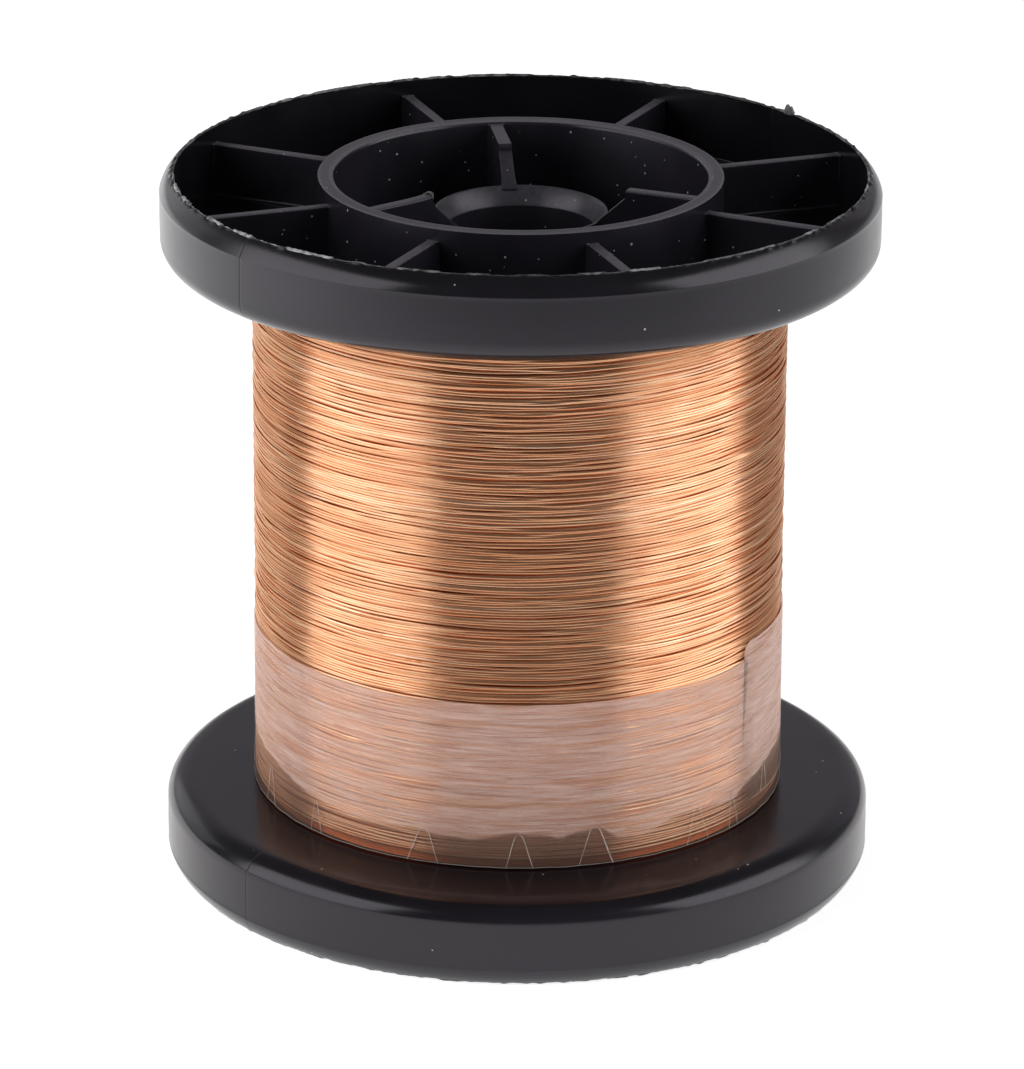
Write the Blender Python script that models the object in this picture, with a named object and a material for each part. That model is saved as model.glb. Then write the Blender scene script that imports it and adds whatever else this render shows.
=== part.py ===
"""Flanged spool of fine enamelled copper wire, held closed by one strip of clear tape.

The spool stands on its bottom rim. The origin is the middle of the plane that the rim rests on,
and +Z runs up the spool's axis. Lengths are metres. The moulded spool is divided at its natural
lines, where a rib or a web meets a wall, and touching pieces keep TOUCH_GAP between them.
"""

import math

import bmesh
import bpy

MM = 0.001

# Spool: overall size
OVERALL_HEIGHT = 81.0 * MM
FLANGE_RADIUS = 40.0 * MM
FLANGE_THICKNESS = 9.7 * MM
BORE_RADIUS = 8.2 * MM

# Flange: a thin disc on the winding side, a tall rim round it and radial ribs between
DISC_THICKNESS = 2.0 * MM
RIM_LAND = 0.3 * MM
RIM_TOP_WALL = 1.6 * MM
RIM_DRAFT = 0.6 * MM
OUTER_ROUND_AXIAL = 2.2 * MM
INNER_ROUND_RADIAL = 3.1 * MM
INNER_ROUND_AXIAL = 2.6 * MM
RIB_COUNT = 8
RIB_THICKNESS = 1.3 * MM
RIB_SETBACK = 1.8 * MM
FIRST_RIB_DEGREES = 20.2

# Core: the barrel that carries the wire, the tube round the spindle and three webs between
BARREL_RADIUS = 22.5 * MM
BARREL_WALL = 1.8 * MM
BARREL_SETBACK = 0.4 * MM
BARREL_CHAMFER_RADIAL = 0.4 * MM
BARREL_CHAMFER_AXIAL = 0.5 * MM
TUBE_RADIUS = 9.7 * MM
TUBE_SETBACK = 4.6 * MM
LEAD_IN_RADIUS = 9.3 * MM
LEAD_IN_DEPTH = 2.0 * MM
WEB_COUNT = 3
WEB_THICKNESS = 1.5 * MM
WEB_SETBACK = 0.7 * MM
WEB_SHOULDER_RADIUS = 12.7 * MM
WEB_NOTCH_RADIAL = 0.4 * MM
WEB_NOTCH_AXIAL = 0.8 * MM
FIRST_WEB_DEGREES = 98.0

# Wire winding and the tape over its lowest turns
WINDING_RADIUS = 29.9 * MM
WINDING_EDGE_ROUND = 0.4 * MM
TAPE_WIDTH = 19.2 * MM
TAPE_THICKNESS = 0.2 * MM
TAPE_LAYER_STEP = 0.3 * MM
TAPE_END_DEGREES = 327.0
TAPE_OVERLAP_DEGREES = 40.0
TAPE_CLIMB = 2.1 * MM
TAPE_CLIMB_START = 200.0
TAPE_LIFT_SPAN = 16.0
TAPE_STEP_DEGREES = 5.0

TOUCH_GAP = 0.3 * MM
TURN_STEPS = 64
ROUND_STEPS = 4
SHARP_ANGLE = math.radians(30)

# Sizes that follow from the ones above
BARREL_BORE_RADIUS = BARREL_RADIUS - BARREL_WALL
RIM_INNER_RADIUS = FLANGE_RADIUS - RIM_TOP_WALL
OUTER_ROUND_RADIAL = RIM_TOP_WALL - RIM_LAND
RIM_ROOT_RADIUS = RIM_INNER_RADIUS - RIM_DRAFT
RIM_FOOT_RADIUS = FLANGE_RADIUS - INNER_ROUND_RADIAL
FLOOR_DEPTH = FLANGE_THICKNESS - DISC_THICKNESS
TAPE_INNER_RADIUS = WINDING_RADIUS - TAPE_THICKNESS
TAPE_BASE = FLANGE_THICKNESS + TOUCH_GAP
TAPED_RADIUS = TAPE_INNER_RADIUS - TOUCH_GAP
TAPED_TOP = TAPE_BASE + TAPE_WIDTH + TAPE_CLIMB + TOUCH_GAP
TAPE_DEGREES = 360.0 + TAPE_OVERLAP_DEGREES


def clear_scene():
    for obj in list(bpy.data.objects):
        bpy.data.objects.remove(obj, do_unlink=True)


def material(name, colour, roughness, metallic=0.0, alpha=1.0):
    made = bpy.data.materials.new(name)
    made.use_nodes = True
    shader = made.node_tree.nodes["Principled BSDF"]
    shader.inputs["Base Color"].default_value = (*colour, 1.0)
    shader.inputs["Roughness"].default_value = roughness
    shader.inputs["Metallic"].default_value = metallic
    shader.inputs["Alpha"].default_value = alpha
    return made


def arc(centre, radial, axial, start_degrees, end_degrees, steps=ROUND_STEPS):
    """Points (radius, height) on a quarter or other part of an ellipse."""
    points = []
    for step in range(steps + 1):
        angle = math.radians(start_degrees + (end_degrees - start_degrees) * step / steps)
        points.append((centre[0] + radial * math.cos(angle), centre[1] + axial * math.sin(angle)))
    return points


def add_object(name, mesh, surface, parent, height=0.0, turned_over=False, degrees=0.0):
    """Place a mesh on the spool's axis, or on the top flange with its outer face up."""
    obj = bpy.data.objects.new(name, mesh)
    bpy.context.scene.collection.objects.link(obj)
    obj.parent = parent
    obj.location = (0.0, 0.0, height)
    obj.rotation_euler = (math.pi if turned_over else 0.0, 0.0, math.radians(degrees))
    if not mesh.materials:
        mesh.materials.append(surface)
    return obj


def mesh_from(bm, name):
    bmesh.ops.recalc_face_normals(bm, faces=bm.faces)
    mesh = bpy.data.meshes.new(name)
    bm.to_mesh(mesh)
    bm.free()
    mesh.shade_smooth()
    mesh.set_sharp_from_angle(angle=SHARP_ANGLE)
    return mesh


def turned_mesh(name, outline):
    """Spin a closed outline of (radius, height) points once round the axis."""
    bm = bmesh.new()
    verts = [bm.verts.new((radius, 0.0, height)) for radius, height in outline]
    for index, vert in enumerate(verts):
        bm.edges.new((vert, verts[(index + 1) % len(verts)]))
    bmesh.ops.spin(
        bm,
        geom=bm.verts[:] + bm.edges[:],
        cent=(0.0, 0.0, 0.0),
        axis=(0.0, 0.0, 1.0),
        angle=2.0 * math.pi,
        steps=TURN_STEPS,
        use_merge=True,
    )
    return mesh_from(bm, name)


def plate_mesh(name, outline, thickness):
    """Extrude an outline of (radius, height) points to a plate standing on the XZ plane."""
    bm = bmesh.new()
    verts = [bm.verts.new((radius, -thickness / 2.0, height)) for radius, height in outline]
    face = bm.faces.new(verts)
    extruded = bmesh.ops.extrude_face_region(bm, geom=[face])
    moved = [item for item in extruded["geom"] if isinstance(item, bmesh.types.BMVert)]
    bmesh.ops.translate(bm, verts=moved, vec=(0.0, thickness, 0.0))
    return mesh_from(bm, name)


def rim_outline():
    """Rim section with its resting land at height 0 and the winding side above."""
    outer_low = (FLANGE_RADIUS - OUTER_ROUND_RADIAL, OUTER_ROUND_AXIAL)
    outer_high = (RIM_FOOT_RADIUS, FLANGE_THICKNESS - INNER_ROUND_AXIAL)
    outline = [(RIM_INNER_RADIUS, 0.0)]
    outline += arc(outer_low, OUTER_ROUND_RADIAL, OUTER_ROUND_AXIAL, -90.0, 0.0)
    outline += arc(outer_high, INNER_ROUND_RADIAL, INNER_ROUND_AXIAL, 0.0, 90.0)
    outline.append((RIM_FOOT_RADIUS, FLOOR_DEPTH))
    outline.append((RIM_ROOT_RADIUS, FLOOR_DEPTH))
    return outline


def disc_outline():
    inner = BARREL_RADIUS + TOUCH_GAP
    outer = RIM_FOOT_RADIUS - TOUCH_GAP
    return [
        (inner, FLOOR_DEPTH),
        (outer, FLOOR_DEPTH),
        (outer, FLANGE_THICKNESS),
        (inner, FLANGE_THICKNESS),
    ]


def rib_outline():
    inner = BARREL_RADIUS + TOUCH_GAP
    outer = RIM_ROOT_RADIUS - TOUCH_GAP
    root = FLOOR_DEPTH - TOUCH_GAP
    return [(inner, RIB_SETBACK), (outer, RIB_SETBACK), (outer, root), (inner, root)]


def barrel_outline():
    low = BARREL_SETBACK
    high = OVERALL_HEIGHT - BARREL_SETBACK
    flat = BARREL_BORE_RADIUS + BARREL_CHAMFER_RADIAL
    return [
        (flat, low),
        (BARREL_RADIUS, low),
        (BARREL_RADIUS, high),
        (flat, high),
        (BARREL_BORE_RADIUS, high - BARREL_CHAMFER_AXIAL),
        (BARREL_BORE_RADIUS, low + BARREL_CHAMFER_AXIAL),
    ]


def tube_outline():
    """Centre tube with a lead-in cone at each end of its bore."""
    low = TUBE_SETBACK
    high = OVERALL_HEIGHT - TUBE_SETBACK
    return [
        (LEAD_IN_RADIUS, low),
        (TUBE_RADIUS, low),
        (TUBE_RADIUS, high),
        (LEAD_IN_RADIUS, high),
        (BORE_RADIUS, high - LEAD_IN_DEPTH),
        (BORE_RADIUS, low + LEAD_IN_DEPTH),
    ]


def web_outline():
    """Web from the barrel to the centre tube, whose ends slope down onto the tube's ends."""
    outer = BARREL_BORE_RADIUS - TOUCH_GAP
    beside_tube = TUBE_RADIUS + TOUCH_GAP
    over_tube = LEAD_IN_RADIUS + TOUCH_GAP
    tube_end = TUBE_SETBACK - TOUCH_GAP
    lower_end = [
        (beside_tube, tube_end),
        (over_tube, tube_end),
        (WEB_SHOULDER_RADIUS - WEB_NOTCH_RADIAL, WEB_SETBACK + WEB_NOTCH_AXIAL),
        (WEB_SHOULDER_RADIUS, WEB_SETBACK),
        (outer, WEB_SETBACK),
    ]
    upper_end = [(radius, OVERALL_HEIGHT - height) for radius, height in reversed(lower_end)]
    return lower_end + upper_end


def winding_outline():
    """Section of the wound wire, drawn in by the touching gap where the tape covers it."""
    inner = BARREL_RADIUS + TOUCH_GAP
    low = FLANGE_THICKNESS + TOUCH_GAP
    high = OVERALL_HEIGHT - low
    edge = WINDING_EDGE_ROUND
    outline = [(inner, low)]
    outline += arc((TAPED_RADIUS - edge, low + edge), edge, edge, -90.0, 0.0)
    outline += [(TAPED_RADIUS, TAPED_TOP), (WINDING_RADIUS, TAPED_TOP)]
    outline += arc((WINDING_RADIUS - edge, high - edge), edge, edge, 0.0, 90.0)
    outline.append((inner, high))
    return outline


def ease(value):
    value = min(max(value, 0.0), 1.0)
    return value * value * (3.0 - 2.0 * value)


def tape_section(travel):
    """Corners of the strip at an angle of travel from its hidden end, as (radius, height)."""
    lift = TAPE_LAYER_STEP * ease((travel - 360.0) / TAPE_LIFT_SPAN + 1.0)
    climb_span = TAPE_DEGREES - TAPE_CLIMB_START
    low = TAPE_BASE + TAPE_CLIMB * max(travel - TAPE_CLIMB_START, 0.0) / climb_span
    inner = TAPE_INNER_RADIUS + lift
    outer = inner + TAPE_THICKNESS
    high = low + TAPE_WIDTH
    return [(inner, low), (outer, low), (outer, high), (inner, high)]


def tape_mesh(name):
    """One strip wound a little over a full turn, its outer end lying over its inner end."""
    bm = bmesh.new()
    steps = round(TAPE_DEGREES / TAPE_STEP_DEGREES)
    rings = []
    for step in range(steps + 1):
        travel = TAPE_DEGREES * step / steps
        angle = math.radians(TAPE_END_DEGREES + TAPE_DEGREES - travel)
        ring = []
        for radius, height in tape_section(travel):
            ring.append(bm.verts.new((radius * math.cos(angle), radius * math.sin(angle), height)))
        rings.append(ring)
    for ring, following in zip(rings, rings[1:]):
        for corner in range(4):
            beside = (corner + 1) % 4
            bm.faces.new((ring[corner], ring[beside], following[beside], following[corner]))
    bm.faces.new(rings[0])
    bm.faces.new(rings[-1])
    return mesh_from(bm, name)


def add_flange(side, plastic, parent):
    """One flange with its own ribs. The top one is the bottom one turned over."""
    top = side == "top"
    height = OVERALL_HEIGHT if top else 0.0
    rim = turned_mesh(side + "_rim", rim_outline())
    disc = turned_mesh(side + "_flange_disc", disc_outline())
    rib = plate_mesh(side + "_rib", rib_outline(), RIB_THICKNESS)
    add_object(side + "_rim", rim, plastic, parent, height, top)
    add_object(side + "_flange_disc", disc, plastic, parent, height, top)
    for index in range(RIB_COUNT):
        degrees = FIRST_RIB_DEGREES + 360.0 * index / RIB_COUNT
        add_object(f"{side}_rib_{index + 1}", rib, plastic, parent, height, top, degrees)


def add_core(plastic, parent):
    barrel = turned_mesh("barrel", barrel_outline())
    tube = turned_mesh("centre_tube", tube_outline())
    web = plate_mesh("web", web_outline(), WEB_THICKNESS)
    add_object("barrel", barrel, plastic, parent)
    add_object("centre_tube", tube, plastic, parent)
    for index in range(WEB_COUNT):
        degrees = FIRST_WEB_DEGREES + 360.0 * index / WEB_COUNT
        add_object(f"web_{index + 1}", web, plastic, parent, degrees=degrees)


def main():
    clear_scene()
    spool = bpy.data.objects.new("spool", None)
    bpy.context.scene.collection.objects.link(spool)
    plastic = material("black_plastic", (0.018, 0.018, 0.02), 0.3)
    copper = material("enamelled_copper", (0.72, 0.4, 0.22), 0.3, metallic=1.0)
    film = material("clear_film", (0.9, 0.82, 0.78), 0.25, alpha=0.4)
    for side in ("bottom", "top"):
        add_flange(side, plastic, spool)
    add_core(plastic, spool)
    winding = turned_mesh("wire_winding", winding_outline())
    add_object("wire_winding", winding, copper, spool)
    add_object("holding_tape", tape_mesh("holding_tape"), film, spool)


main()
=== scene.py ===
"""Looks of the wire spool: a black moulded spool, copper wire in random lays and clear tape.

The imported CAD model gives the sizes. Lengths are metres and angles are radians unless a name
says degrees. An azimuth is measured from +X towards +Y, and the front is at 270 degrees.
"""

import math

import bpy
import numpy as np
from mathutils import Matrix, Vector


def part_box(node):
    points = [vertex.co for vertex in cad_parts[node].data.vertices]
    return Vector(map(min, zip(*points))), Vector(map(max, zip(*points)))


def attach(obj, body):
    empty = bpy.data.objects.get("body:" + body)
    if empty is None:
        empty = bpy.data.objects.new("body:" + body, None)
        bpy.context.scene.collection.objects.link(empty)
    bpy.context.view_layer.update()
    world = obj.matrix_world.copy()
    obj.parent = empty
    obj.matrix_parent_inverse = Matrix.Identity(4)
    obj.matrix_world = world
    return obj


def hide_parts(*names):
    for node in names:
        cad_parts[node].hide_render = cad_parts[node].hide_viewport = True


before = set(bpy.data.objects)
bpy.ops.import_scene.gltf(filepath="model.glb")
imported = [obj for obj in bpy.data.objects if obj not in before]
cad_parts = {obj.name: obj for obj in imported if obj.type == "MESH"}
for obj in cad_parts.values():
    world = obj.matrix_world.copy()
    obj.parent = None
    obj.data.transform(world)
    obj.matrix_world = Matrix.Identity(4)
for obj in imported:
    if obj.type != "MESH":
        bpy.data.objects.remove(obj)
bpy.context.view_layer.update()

MM = 0.001
BODY = "root"
SHARP_ANGLE = math.radians(35)

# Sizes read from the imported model
FLANGE_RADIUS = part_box("bottom_rim")[1].x
FLANGE_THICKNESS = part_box("bottom_rim")[1].z
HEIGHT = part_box("top_rim")[1].z
FLOOR_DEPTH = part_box("bottom_flange_disc")[0].z
BARREL_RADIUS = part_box("barrel")[1].x
BARREL_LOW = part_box("barrel")[0].z
TUBE_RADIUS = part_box("centre_tube")[1].x
TUBE_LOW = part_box("centre_tube")[0].z
RIB_TOP_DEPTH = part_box("bottom_rib_1")[0].z
WEB_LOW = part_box("web_1")[0].z
WINDING_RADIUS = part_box("wire_winding")[1].x
TAPE_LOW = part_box("holding_tape")[0].z

# Section details of the moulding
RIM_TOP_WALL = 1.6 * MM
RIM_DRAFT = 0.6 * MM
CREASE_DEPTH = 1.95 * MM
CREASE_DEGREES = 17.0
CREASE_LIP = 0.015 * MM
OUTER_ROUND = 4.2 * MM
INNER_ROUND = (3.1 * MM, 2.6 * MM)
BARREL_BORE = BARREL_RADIUS - 1.8 * MM
BARREL_CHAMFER = (0.4 * MM, 0.5 * MM)
BORE_RADIUS = 8.2 * MM
LEAD_IN_RADIUS = 9.3 * MM
LEAD_IN_DEPTH = 2.0 * MM
EDGE_ROUND = 0.12 * MM
FILLET = 0.28 * MM
SINK = 0.5 * MM
RIB_HALF_WIDTH = 0.62 * MM
WEB_HALF_WIDTH = 0.75 * MM
WEB_SHOULDER_RADIUS = 12.7 * MM
WEB_STEP = 0.8 * MM
WEB_TIP_RADIUS = 9.0 * MM
PARTING_DEGREES = (221.5, 41.5)
FIRST_RIB_DEGREES = 20.2
FIRST_WEB_DEGREES = 98.0
RIB_COUNT = 8
WEB_COUNT = 3
BARREL_SAMPLES = 320
TUBE_SAMPLES = 240

# Torn flash on the rims: middle and half width of its heavy and its light stretch, in degrees
HEAVY_FLASH = (213.0, 27.0)
LIGHT_FLASH = (330.0, 30.0)
FLASH_LUMP_DEGREES = PARTING_DEGREES[1] - 4.2
FLASH_SAMPLES = 3000

# Wire
WIRE_DIAMETER = 0.3 * MM
UNDER_PITCH = 0.315 * MM
OUTER_PITCH = 0.3 * MM
UNDER_SAMPLES = 120
OUTER_SAMPLES = 240
WIRE_SIDES = 6
BED_SAMPLES = 120

# Tape
TAPE_WIDTH = 19.2 * MM
TAPE_FILM = 0.05 * MM
TAPE_END_DEGREES = 327.0
TAPE_OVERLAP_DEGREES = 40.0
TAPE_CLIMB = 2.1 * MM
TAPE_CLIMB_START = 200.0
TAPE_GAP = 0.06 * MM
LOOSE_LIFT = 0.12 * MM
LOOSE_HEIGHT = 5.0 * MM
TAPE_CORNER = 1.2 * MM
TAPE_ROWS = 900
TAPE_LEVELS = 40

# Colours
# Paler, duller plastic colour: partly wear, partly a painted highlight where edges catch the light
PALE_WEAR_AND_HIGHLIGHT = (0.16, 0.153, 0.174, 1.0)
DUST = (0.45, 0.45, 0.47, 1.0)
TORN_DARK = (0.02, 0.019, 0.022, 1.0)
# Pale colour of the flash: painted light standing in for light from behind falling on the fin
PAINTED_BACKLIGHT_PALE = (0.6, 0.59, 0.6, 1.0)
COPPER_TONES = (
    (0.0, (0.76, 0.42, 0.235)),
    (0.35, (0.82, 0.49, 0.285)),
    (0.65, (0.86, 0.55, 0.33)),
    (1.0, (0.92, 0.67, 0.46)),
)
DARK_COPPER = (0.74, 0.35, 0.17)
# Painted shade for the flanks of the turns, which face into the gaps between them
COPPER_PAINTED_GAP_SHADE = (0.95, 0.57, 0.38, 1.0)
COPPER_EDGE_TINT = (0.95, 0.79, 0.67, 1.0)
# Milky frost tinted with the copper under it: painted light from the wire
FROST_PAINTED_COPPER_DARK = (0.78, 0.5, 0.4, 1.0)
FROST_PAINTED_COPPER_PALE = (0.92, 0.7, 0.61, 1.0)
FROST_PAINTED_COPPER_PATCH = (0.82, 0.48, 0.33, 1.0)
# Dark brown of the clear edge: painted shade of the gap under the loose film
FILM_CLEAR_PAINTED_SHADE = (0.3, 0.19, 0.145, 1.0)
FILM_BUBBLE = (0.88, 0.78, 0.73, 1.0)
# Pale colours of a fold in the film: a painted highlight along the fold
CREASE_DARK = (0.75, 0.62, 0.55, 1.0)
CREASE_PAINTED_HIGHLIGHT = (0.95, 0.86, 0.8, 1.0)


# ---------------------------------------------------------------- mesh helpers


def arc(centre, radial, axial, start_degrees, end_degrees, steps):
    """Points (radius, height) on part of an ellipse."""
    points = []
    for step in range(steps + 1):
        angle = math.radians(start_degrees + (end_degrees - start_degrees) * step / steps)
        points.append((centre[0] + radial * math.cos(angle), centre[1] + axial * math.sin(angle)))
    return points


def ring_faces(rows, around, closed):
    """Quads between rows of points, each row a closed loop."""
    row = np.arange(rows if closed else rows - 1)[:, None]
    column = np.arange(around)[None, :]
    after_row = (row + 1) % rows
    after_column = (column + 1) % around
    corners = [
        row * around + column,
        row * around + after_column,
        after_row * around + after_column,
        after_row * around + column,
    ]
    return np.stack(np.broadcast_arrays(*corners), axis=-1).reshape(-1, 4)


def signed_volume(points, quads):
    first, second, third, fourth = (points[quads[:, i]] for i in range(4))
    volume = np.einsum("ij,ij->i", first, np.cross(second, third)).sum()
    return volume + np.einsum("ij,ij->i", first, np.cross(third, fourth)).sum()


def loft(name, rings, closed, surface, attributes=None):
    """A closed piece from an array (row, place round the row, xyz). Open lofts get flat caps."""
    rows, around, _ = rings.shape
    points = rings.reshape(-1, 3)
    quads = ring_faces(rows, around, closed)
    flipped = signed_volume(points, quads) < 0
    if flipped:
        quads = quads[:, ::-1]
    faces = quads.tolist()
    if not closed:
        start = list(range(around))
        end = list(range((rows - 1) * around, rows * around))
        faces.append(start if flipped else start[::-1])
        faces.append(end[::-1] if flipped else end)
    mesh = bpy.data.meshes.new(name)
    mesh.from_pydata(points.tolist(), [], faces)
    for key, values in (attributes or {}).items():
        layer = mesh.attributes.new(key, "FLOAT", "POINT")
        layer.data.foreach_set("value", np.asarray(values, np.float32).ravel())
    mesh.shade_smooth()
    mesh.set_sharp_from_angle(angle=SHARP_ANGLE)
    mesh.materials.append(surface)
    obj = bpy.data.objects.new(name, mesh)
    bpy.context.scene.collection.objects.link(obj)
    return obj


def turn(outline, angles):
    """Rings of an outline (radius, height) carried round the axis."""
    outline = np.asarray(outline)
    radius = np.broadcast_to(outline[:, 0], (len(angles), len(outline)))
    height = np.broadcast_to(outline[:, 1], (len(angles), len(outline)))
    return polar(radius, angles[:, None], height)


def polar(radius, angle, height):
    return np.stack(np.broadcast_arrays(radius * np.cos(angle), radius * np.sin(angle), height), axis=-1)


def placed(rings, top, degrees=0.0):
    """Rings turned by some degrees, and carried over to the top flange where top is true."""
    rings = rings.copy()
    if top:
        rings[..., 2] = HEIGHT - rings[..., 2]
    angle = math.radians(degrees)
    x = rings[..., 0] * math.cos(angle) - rings[..., 1] * math.sin(angle)
    y = rings[..., 0] * math.sin(angle) + rings[..., 1] * math.cos(angle)
    return np.stack([x, y, rings[..., 2]], axis=-1)


def round_noise(angles, seed, lowest, highest):
    """Smooth noise of about unit size that closes after one turn."""
    rng = np.random.default_rng(seed)
    waves = np.arange(lowest, highest + 1)
    weights = rng.normal(size=len(waves))
    phases = rng.uniform(0.0, 2.0 * math.pi, len(waves))
    noise = (weights[:, None] * np.cos(waves[:, None] * angles[None, :] + phases[:, None])).sum(axis=0)
    return noise / math.sqrt(len(waves) / 2.0)


def long_noise(count, seed, smooth):
    """Smooth noise of unit size along a row of samples, with features about smooth samples long."""
    rng = np.random.default_rng(seed)
    spectrum = np.fft.rfft(rng.normal(size=count))
    frequency = np.fft.rfftfreq(count)
    noise = np.fft.irfft(spectrum * np.exp(-2.0 * (math.pi * frequency * smooth / 2.0) ** 2), count)
    return noise / noise.std()


def ease(value):
    value = np.clip(value, 0.0, 1.0)
    return value * value * (3.0 - 2.0 * value)


def finish_piece(piece, slot, *nodes):
    """Ties a piece to the spool's body and hides the CAD nodes that it replaces. The slot is not used."""
    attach(piece, BODY)
    if nodes:
        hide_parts(*nodes)


# ---------------------------------------------------------------- materials


def new_surface(name):
    made = bpy.data.materials.new(name)
    made.use_nodes = True
    tree = made.node_tree
    return made, tree, tree.nodes["Principled BSDF"]


def add_node(tree, kind, inputs=None, **settings):
    """A new node with its settings. Each input is a value or another node's output."""
    made = tree.nodes.new(kind)
    for key, value in settings.items():
        setattr(made, key, value)
    for key, value in (inputs or {}).items():
        if isinstance(value, bpy.types.NodeSocket):
            tree.links.new(value, made.inputs[key])
        else:
            made.inputs[key].default_value = value
    return made


def noise_of(tree, vector, scale, detail=3.0):
    inputs = {"Vector": vector, "Scale": scale, "Detail": detail}
    return add_node(tree, "ShaderNodeTexNoise", inputs).outputs[0]


def spread(tree, value, low, high, to_low, to_high):
    """The range low to high mapped onto to_low to to_high, and held level past its ends."""
    inputs = {"Value": value, "From Min": low, "From Max": high, "To Min": to_low, "To Max": to_high}
    return add_node(tree, "ShaderNodeMapRange", inputs).outputs[0]


def mix_colours(tree, factor, first, second):
    made = add_node(tree, "ShaderNodeMix", data_type="RGBA")
    factor_socket, first_socket, second_socket = (made.inputs[i] for i in (0, 6, 7))
    for socket, value in ((factor_socket, factor), (first_socket, first), (second_socket, second)):
        if isinstance(value, bpy.types.NodeSocket):
            tree.links.new(value, socket)
        else:
            socket.default_value = value
    return made.outputs[2]


def maths(tree, operation, first, second=0.0):
    return add_node(tree, "ShaderNodeMath", {0: first, 1: second}, operation=operation).outputs[0]


def plastic_surface(name, black, smoothest, roughest, dust):
    """Glossy black moulded plastic with smears and dust. Where the wear_and_highlight attribute is set it
    is paler and duller: partly wear, partly a painted highlight on edges and faces that catch the light.
    """
    made, tree, shader = new_surface(name)
    place = add_node(tree, "ShaderNodeTexCoord").outputs["Object"]
    wear_and_highlight = add_node(tree, "ShaderNodeAttribute", attribute_name="wear_and_highlight").outputs["Fac"]
    smear = noise_of(tree, place, 90.0)
    grain = noise_of(tree, place, 2600.0, 2.0)
    darkest = (0.85 * black, 0.76 * black, 1.06 * black, 1.0)
    palest = (1.35 * black, 1.2 * black, 1.65 * black, 1.0)
    ground = mix_colours(tree, spread(tree, smear, 0.3, 0.7, 0.0, 1.0), darkest, palest)
    # Painted highlight and wear: paler where the wear_and_highlight attribute is set
    edge_grain = spread(tree, noise_of(tree, place, 1500.0), 0.3, 0.7, 0.55, 1.0)
    edge = maths(tree, "MULTIPLY", wear_and_highlight, edge_grain)
    ground = mix_colours(tree, edge, ground, PALE_WEAR_AND_HIGHLIGHT)
    cells = add_node(tree, "ShaderNodeTexVoronoi", {"Vector": place, "Scale": 900.0})
    rare = maths(tree, "GREATER_THAN", cells.outputs["Color"], 1.0 - dust)
    reach = spread(tree, noise_of(tree, place, 700.0), 0.35, 0.65, 0.03, 0.13)
    near = maths(tree, "LESS_THAN", cells.outputs["Distance"], reach)
    speck = maths(tree, "MULTIPLY", near, rare)
    colour = mix_colours(tree, speck, ground, DUST)
    tree.links.new(colour, shader.inputs["Base Color"])
    gloss = spread(tree, smear, 0.3, 0.7, smoothest, roughest)
    dull = maths(tree, "MULTIPLY", maths(tree, "MAXIMUM", speck, wear_and_highlight), 0.22)
    tree.links.new(maths(tree, "ADD", gloss, dull), shader.inputs["Roughness"])
    bump = add_node(tree, "ShaderNodeBump", {"Height": grain, "Strength": 0.3, "Distance": 0.000012})
    tree.links.new(bump.outputs[0], shader.inputs["Normal"])
    shader.inputs["Specular Tint"].default_value = (0.96, 0.92, 1.0, 1.0)
    return made


def torn_surface(name):
    """Plastic of the torn flash along a rim's edge, paler where its pale attribute is set: painted light
    standing in for light from behind falling on the fin.
    """
    made, tree, shader = new_surface(name)
    place = add_node(tree, "ShaderNodeTexCoord").outputs["Object"]
    shade = noise_of(tree, place, 900.0)
    backlit_torn_flash = add_node(tree, "ShaderNodeAttribute", attribute_name="pale").outputs["Fac"]
    # Painted light: the fin is drawn paler where the pale attribute is set
    pale = maths(tree, "MULTIPLY", spread(tree, shade, 0.38, 0.6, 0.15, 1.0), backlit_torn_flash)
    colour = mix_colours(tree, pale, TORN_DARK, PAINTED_BACKLIGHT_PALE)
    tree.links.new(colour, shader.inputs["Base Color"])
    tree.links.new(spread(tree, shade, 0.3, 0.7, 0.3, 0.6), shader.inputs["Roughness"])
    return made


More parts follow.
